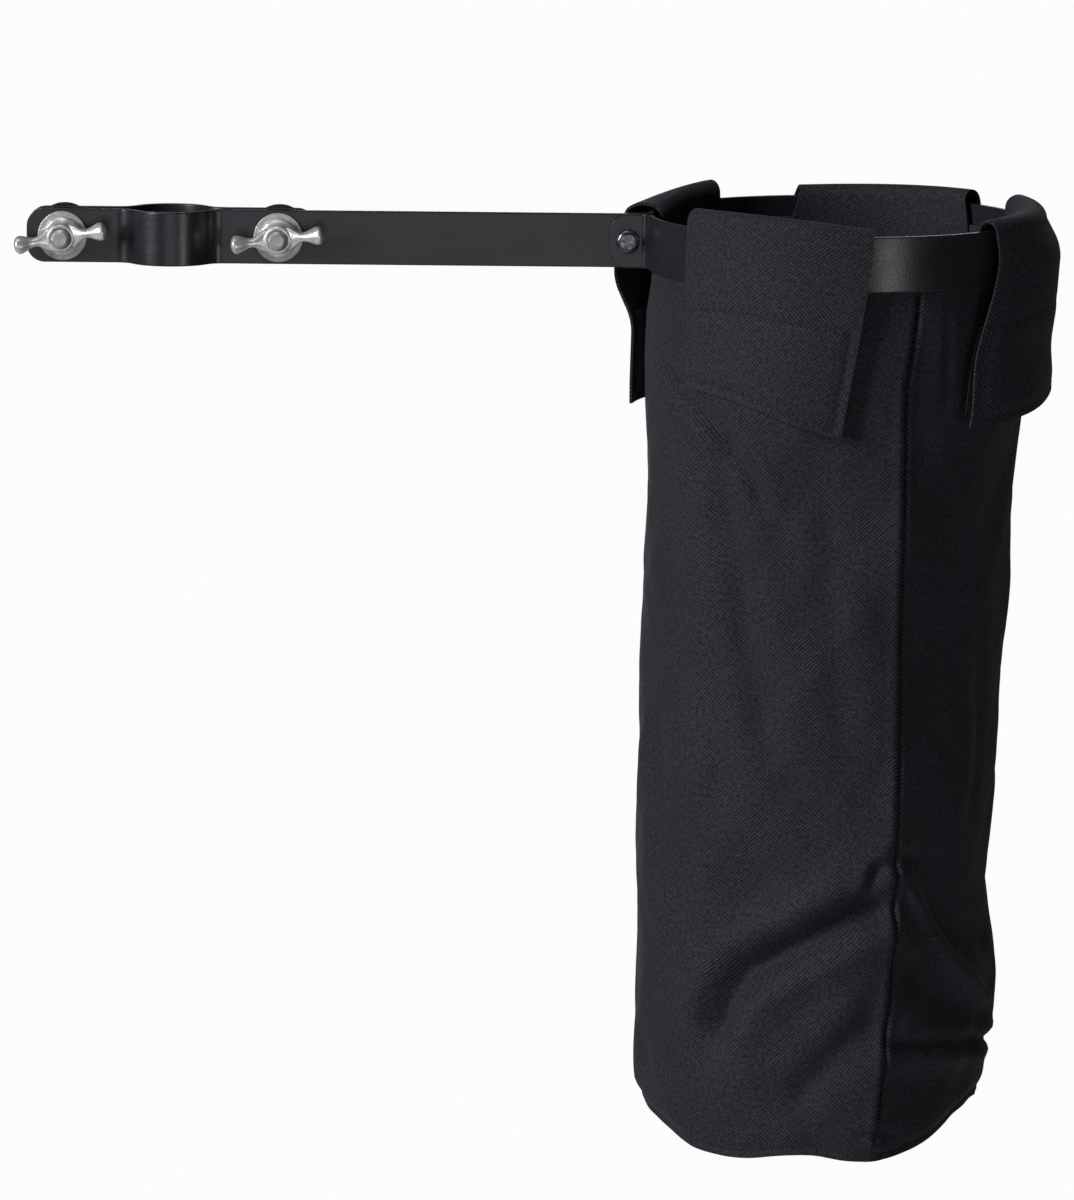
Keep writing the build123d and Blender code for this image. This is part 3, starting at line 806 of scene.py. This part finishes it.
for side, middle in (("front", 24.0), ("rear", -156.0)):
    seam_a = middle + np.linspace(-5.6, 5.6, 15)[:, None]
    seam_z = np.linspace(-16.0, -294.0, 140)[None, :]
    seam_r = wall_radius(seam_a, seam_z) - CLOTH_T - 0.65 + 0.25 * np.cos(seam_z / 9.0)
    allowance = cloth_shell(
        f"{side}_seam_cloth", on_bag(seam_a, seam_z, seam_r), 0.4 * MM, cloth_uv(seam_a, seam_z))
    finish_cloth(allowance, INNER_CLOTH, "bag", [f"{side}_seam_allowance"])


# ---- loops: cloth that rises inside the ring, turns over it and hangs outside ----
# per loop: heights (at) with the azimuths of its two edges there (first, last); heights along the
# width of the fold, of the lower edge (foot) and, where it isn't a plain strip up from the foot, of
# the upper stitches (head); how deep the stitches pull, where it isn't STITCH_PULL; and how far the
# flap stands off the ring, as (height, at one edge, in the middle, at the other edge)
LOOP_SHAPES = {
    "front": dict(
        at=[15, 0, -20, -42, -58],
        first=[-50.4, -51.0, -50.6, -49.6, -49.0],
        last=[7.8, 6.8, 4.4, 1.2, -1.2],
        fold=[15.4, 15.6, 15.0, 13.6, 11.4],
        foot=[-43.0, -45.0, -48.3, -53.0, -57.2],
        head=[-17.4, -17.0, -17.8, -20.0, -22.5],
        pull=0.7,
        stand=[(15, 0.0, 0.2, 0.0), (0, 0.0, 0.9, 0.3), (-20, 0.4, 1.4, 0.9), (-40, 0.3, 0.9, 0.9),
               (-58, 0.2, 0.5, 0.8)],
    ),
    "outer": dict(
        at=[13, 0, -5, -22, -32, -52, -58],
        first=[47.8, 49.5, 48.4, 42.4, 39.5, 37.2, 36.8],
        last=[104.0, 105.0, 106.0, 106.0, 105.0, 104.0, 104.0],
        fold=[12.6, 13.2, 13.4, 14.6, 15.0],
        foot=[-54.6, -53.0, -49.8, -47.6, -47.0],
        stand=[(13, 0.4, 1.6, 1.0), (0, 1.6, 8.6, 5.0), (-16, 2.0, 7.2, 5.0), (-32, 2.0, 5.0, 3.6),
               (-48, 3.4, 7.0, 4.4), (-58, 2.6, 5.4, 3.6)],
    ),
    "back": dict(
        at=[14, 0, -20, -54],
        first=[130.4, 128.0, 130.0, 133.0],
        last=[188.5, 192.5, 192.0, 190.0],
        fold=[13.8, 13.7, 13.4, 13.0, 12.6],
        foot=[-53.0, -53.5, -54.0, -54.5, -55.0],
        stand=[(14, 0.0, 0.3, 0.0), (-20, 0.6, 1.2, 0.6), (-54, 0.5, 0.8, 0.5)],
    ),
    "inner": dict(
        at=[17, 0, -14, -28, -58],
        first=[-140.0, -140.5, -141.0, -140.5, -140.0],
        last=[-99.0, -99.0, -98.0, -98.0, -99.0],
        fold=[15.6, 14.3, 12.8, 11.7, 11.5],
        foot=[-56.0, -56.5, -57.0, -57.0, -57.0],
        stand=[(17, 1.0, 2.0, 3.0), (-2, 2.0, 5.0, 8.0), (-14, 3.0, 5.5, 8.8), (-28, 2.0, 3.0, 2.6),
               (-58, 2.0, 2.6, 3.2)],
    ),
}
# radius and foot of the roots, radius of the flaps and rise of the fold; the width the weave is laid
# out on; the side stitches' inset as a share of the width, that width, and how deep they pull
LOOP_IN_R = 59.3
LOOP_ROOT_Z = -14.0
FLAP_R = 65.7
CREST = 4.0
LOOP_WIDE = 64.0
STITCH_U = 0.045
STITCH_WIDE = 62.0
STITCH_PULL = 0.25


def across(values, u):
    """A smooth value over the width from equally spaced values."""
    place = np.linspace(0, 1, len(values))
    spread = np.linspace(-0.09, 0.09, 5)
    return np.mean([np.interp(np.clip(u + s, 0, 1), place, values) for s in spread], axis=0)


def down(heights, values, z):
    """A smooth value over height from values at falling heights."""
    spread = np.linspace(-3.5, 3.5, 5)
    return np.mean([np.interp(-(z + s), [-h for h in heights], values) for s in spread], axis=0)


def loop_stand(shape, u, z):
    """How far the flap stands off the ring: a parabola through its two edges and its middle."""
    heights = [row[0] for row in shape["stand"]]
    one, middle, other = (down(heights, [row[k] for row in shape["stand"]], z) for k in (1, 2, 3))
    return one * (1 - u) * (1 - 2 * u) + 4 * middle * u * (1 - u) + other * u * (2 * u - 1)


def loop_azimuth(shape, u, z):
    """Azimuth of a place on the loop, from its two edges."""
    first, last = (down(shape["at"], shape[key], z) for key in ("first", "last"))
    return first + (last - first) * u


def loop_path(shape, u, turn):
    """
    Radius and height along the fold: a half oval from the inside face of the ring over its top
    and out to where the flap starts to hang. turn runs from 0 inside to pi outside.
    """
    top = across(shape["fold"], u) - CLOTH_T / 2
    base = top - CREST
    out = FLAP_R + loop_stand(shape, u, base)
    middle, half = (LOOP_IN_R + out) / 2, (out - LOOP_IN_R) / 2
    return middle - half * np.cos(turn), base + CREST * np.sin(turn) ** 0.9


def loop_grid(shape, u, part):
    """
    Radius and height over the loop's width and length. The root rises straight inside the ring to
    part of the fold; the flap is the rest of the fold and the hanging cloth.
    """
    cut = 0.30 * math.pi
    if part == "root":
        turn = np.concatenate([np.zeros(22), np.linspace(0, cut, 12)])[None, :]
        rise = np.concatenate([np.linspace(0, 1, 22), np.ones(12)])[None, :]
    else:
        turn = np.concatenate([np.linspace(cut, math.pi, 26), np.full(62, math.pi)])[None, :]
        rise = np.concatenate([np.zeros(26), np.linspace(0, 1, 63)[1:]])[None, :]
    r, z = loop_path(shape, u, turn)
    if part == "root":
        z = np.where(rise < 1, LOOP_ROOT_Z + (z - LOOP_ROOT_Z) * rise, z)
    else:
        foot = across(shape["foot"], u) + CLOTH_T / 2
        z = np.where(rise > 0, z + (foot - z) * rise, z)
        hung = FLAP_R + loop_stand(shape, u, z)
        r = np.where(rise > 0, hung, r)
    return r, z


def loop_cloth_uv(u, r, z):
    """Cloth coordinates in metres: along the width, and the length run along the cloth."""
    step = np.hypot(np.diff(r, axis=1, prepend=r[:, :1]), np.diff(z, axis=1, prepend=z[:, :1]))
    run = np.cumsum(step, axis=1)
    return np.stack([np.broadcast_to(u * LOOP_WIDE, run.shape), run], -1) * MM


def stitch_lines(shape, t):
    """Height along the width of a flap's upper and lower rows of stitches."""
    foot = across(shape["foot"], t) + 2.6
    if "head" in shape:
        return across(shape["head"], t), foot
    return foot + 30.0, foot


def stitch_dimple(shape, u, z):
    """Cloth pulled in along the flap's four rows of stitches and puffed up between them, in mm."""
    head, foot = stitch_lines(shape, u)
    left, right = (u - STITCH_U) * STITCH_WIDE, (1 - STITCH_U - u) * STITCH_WIDE
    sideways, upright = np.minimum(left, right), np.minimum(head - z, z - foot)
    depth = shape.get("pull", STITCH_PULL)
    pull = 0.0
    for gap, inside in ((z - head, sideways), (z - foot, sideways), (left, upright), (right, upright)):
        pull = pull - depth * np.exp(-((gap / 0.85) ** 2)) * smoothstep(-1.5, 0.5, inside)
    return pull + 0.35 * smoothstep(0, 5, upright) * smoothstep(0, 5, sideways)


def edge_curl(u, z, seed):
    """Slight waviness of the free cloth in mm, stronger towards its edges."""
    chance = np.random.default_rng(seed)
    wave = 0.0
    for _ in range(5):
        k, m = chance.uniform(1, 5), chance.uniform(0.03, 0.16)
        wave = wave + 0.16 * np.cos(k * 3 * u + m * z + chance.uniform(0, 6.28))
    return wave * smoothstep(8, -10, z)


def stitch_row(name, points, outward, pitch=3.0, length=2.0, width=0.6):
    """
    Lock stitches along a line: each is a small capsule, an oval ring of points carried along its
    own length and pinched at both ends, laid every pitch on the cloth.
    """
    step = np.linalg.norm(np.diff(points, axis=0), axis=1)
    run = np.concatenate([[0], np.cumsum(step)]) / MM
    starts = np.arange(0.6, run[-1] - length, pitch)
    count = 6
    t = np.linspace(0, 1, count)
    where = starts[:, None] + length * t[None, :]
    centre = np.stack([np.interp(where, run, points[:, k]) for k in range(3)], -1)
    lift = np.stack([np.interp(where, run, outward[:, k]) for k in range(3)], -1)
    lift /= np.linalg.norm(lift, axis=-1, keepdims=True)
    along = centre[:, -1:] - centre[:, :1]
    along = along / np.linalg.norm(along, axis=-1, keepdims=True)
    side = np.cross(lift, along)
    around = np.linspace(0, 2 * math.pi, count, endpoint=False)
    thick = width / 2 * MM * np.sqrt(np.clip(1 - (2 * t - 1) ** 4, 0.02, 1))
    ring = np.cos(around)[None, None, :, None] * side[:, :, None, :]
    ring = ring + 0.8 * np.sin(around)[None, None, :, None] * lift[:, :, None, :]
    points = centre[:, :, None, :] + thick[None, :, None, None] * ring + 0.06 * MM * lift[:, :, None, :]
    faces = []
    for first in range(0, len(starts) * count**2, count**2):
        faces += grid_faces(count, count, wrap_columns=True, first=first).tolist()
        faces.append(list(range(first, first + count)))
        faces.append(list(range(first + count**2 - count, first + count**2)))
    made = mesh_object(name, points.reshape(-1, 3), faces)
    tidy_mesh(made, 1e-8)
    return made


def join(name, pieces):
    """Join a few pieces of the same kind into one object."""
    work = bmesh.new()
    for piece in pieces:
        work.from_mesh(piece.data)
        old = piece.data
        bpy.data.objects.remove(piece)
        bpy.data.meshes.remove(old)
    mesh = bpy.data.meshes.new(name)
    work.to_mesh(mesh)
    work.free()
    made = bpy.data.objects.new(name, mesh)
    bpy.context.scene.collection.objects.link(made)
    return made


roots, fuzzes = [], []
for number, name in enumerate(LOOPS):
    shape = LOOP_SHAPES[name]
    u = np.linspace(0, 1, 57)[:, None]

    def place(u, r, z):
        """Points of this loop in metres, with its curl and its stitched relief."""
        relief = edge_curl(u, z, 40 + number) + stitch_dimple(shape, u, z)
        return on_bag(loop_azimuth(shape, u, z), z, r + relief)

    r, z = loop_grid(shape, u, "root")
    root = cloth_shell(f"{name}_root_cloth", place(u, r, z), CLOTH_T / 2 * MM, loop_cloth_uv(u, r, z))
    finish_cloth(root, CLOTH, "bag", [f"{name}_loop_root"])
    roots.append(root)

    r, z = loop_grid(shape, u, "flap")
    flap = cloth_shell(f"{name}_flap_cloth", place(u, r, z), CLOTH_T / 2 * MM, loop_cloth_uv(u, r, z))
    finish_cloth(flap, CLOTH, None, [f"{name}_flap"])
    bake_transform(flap)

    patch_u = np.linspace(0.06, 0.94, 40)[:, None]
    head, foot = stitch_lines(shape, patch_u)
    patch_z = head - 1.0 + (foot + 1.8 - head) * np.linspace(0, 1, 24)[None, :]
    inside = FLAP_R + loop_stand(shape, patch_u, patch_z) - CLOTH_T / 2 - 0.75
    hook = cloth_shell(f"{name}_hook_tape", place(patch_u, inside, patch_z), 0.6 * MM,
                       np.stack(np.broadcast_arrays(patch_u * LOOP_WIDE * MM, patch_z * MM), -1))
    finish_cloth(hook, HOOK, f"{name}_flap_body", [f"{name}_hook_patch"])

    fuzz_a = loop_azimuth(shape, patch_u, patch_z)
    fuzz_z = patch_z + 0 * fuzz_a
    fuzz_points = on_bag(fuzz_a, fuzz_z, wall_radius(fuzz_a, fuzz_z) + 0.25)
    fuzz = cloth_shell(f"{name}_loop_tape", fuzz_points, 0.3 * MM, cloth_uv(fuzz_a, fuzz_z))
    finish_cloth(fuzz, LOOP_FUZZ, "bag", [f"{name}_loop_patch"])
    fuzzes.append(fuzz)

    t = np.linspace(0, 1, 60)
    head, foot = stitch_lines(shape, t)
    span = STITCH_U + (1 - 2 * STITCH_U) * t
    lines = [(span, head), (span, foot)]
    for edge_u, k in ((STITCH_U, 0), (1 - STITCH_U, -1)):
        lines.append((np.full(60, edge_u), head[k] + (foot[k] - head[k]) * t))
    rows = []
    for k, (line_u, line_z) in enumerate(lines):
        face_r = FLAP_R + loop_stand(shape, line_u, line_z) + CLOTH_T / 2
        spots = place(line_u, face_r, line_z)
        turn = np.radians(loop_azimuth(shape, line_u, line_z))
        outward = np.stack([np.sin(turn), -np.cos(turn), 0 * turn], -1)
        rows.append(stitch_row(f"stitch_{k}", spots, outward))
    stitches = join(f"{name}_flap_stitches", rows)
    finish_piece(stitches, THREAD, f"{name}_flap_body")


# ---- CAD pieces that stay visible get their own materials ----
def dress(node_name, material):
    """Put a material on a CAD piece."""
    piece = bpy.data.objects[node_name]
    piece.data.materials.clear()
    piece.data.materials.append(material)


for side in ("left", "right"):
    dress(f"{side}_clamp_bolt", BOLT_ZINC)
    dress(f"{side}_rear_washer", STEEL)
for part in ("ring_screw", "ring_washer", "ring_lock_nut"):
    dress(part, OXIDE)


# ---- floor and light ----
FLOOR_Z = -1.9
FLOOR_HALF = 3.0
corners = [(x * FLOOR_HALF, y * FLOOR_HALF, FLOOR_Z) for x, y in ((-1, -1), (1, -1), (1, 1), (-1, 1))]
pale_floor = mesh_object("pale_floor", corners, [(0, 1, 2, 3)])
pale_floor.data.materials.append(
    new_material("pale_floor", Base_Color=paint_colour("#f2f2f3"), Roughness=0.8)[0])


def soft_light(name, at, aim, size, power, tone="#ffffff"):
    """A rectangular soft box that faces a point, itself out of sight."""
    data = bpy.data.lights.new(name, "AREA")
    data.shape = "RECTANGLE"
    data.size, data.size_y = size
    data.energy = power
    data.color = paint_colour(tone)[:3]
    lamp = bpy.data.objects.new(name, data)
    lamp.location = at
    lamp.visible_camera = False
    lamp.rotation_euler = (Vector(aim) - Vector(at)).to_track_quat("-Z", "Y").to_euler()
    bpy.context.scene.collection.objects.link(lamp)


soft_light("key_softbox", (-1.62, -1.28, 0.7), (0.2, 0.0, -0.12), (0.7, 1.3), 46.0, "#fdfcff")
soft_light("top_softbox", (-0.2, -0.2, 1.6), (0.15, 0.0, 0.0), (1.0, 0.7), 4.0)
soft_light("rear_softbox", (0.9, 2.4, 0.6), (0.2, 0.0, -0.1), (1.2, 0.5), 3.0)
soft_light("rear_fill", (0.15, 2.5, -0.3), (0.2, 0.0, -0.12), (1.4, 0.9), 16.0)
soft_light("front_card", (0.05, -2.2, -0.3), (0.1, 0.0, -0.05), (1.1, 0.7), 2.6)
soft_light("strip_softbox", (1.1, -1.6, -0.35), (0.22, 0.0, -0.05), (0.3, 0.5), 3.0)

# a pale surround to the eye that gives the black object only a little light
world = bpy.data.worlds.new("studio_world")
world.use_nodes = True
surround = world.node_tree.nodes["Background"]
seen = node(world.node_tree, "ShaderNodeLightPath").outputs["Is Camera Ray"]
level = node(world.node_tree, "ShaderNodeMapRange", {"Value": seen, "To Min": 0.035, "To Max": 0.975})
world.node_tree.links.new(level.outputs["Result"], surround.inputs["Strength"])
surround.inputs["Color"].default_value = (1.0, 1.0, 1.0, 1.0)
bpy.context.scene.world = world
bpy.context.scene.view_settings.view_transform = "Standard"
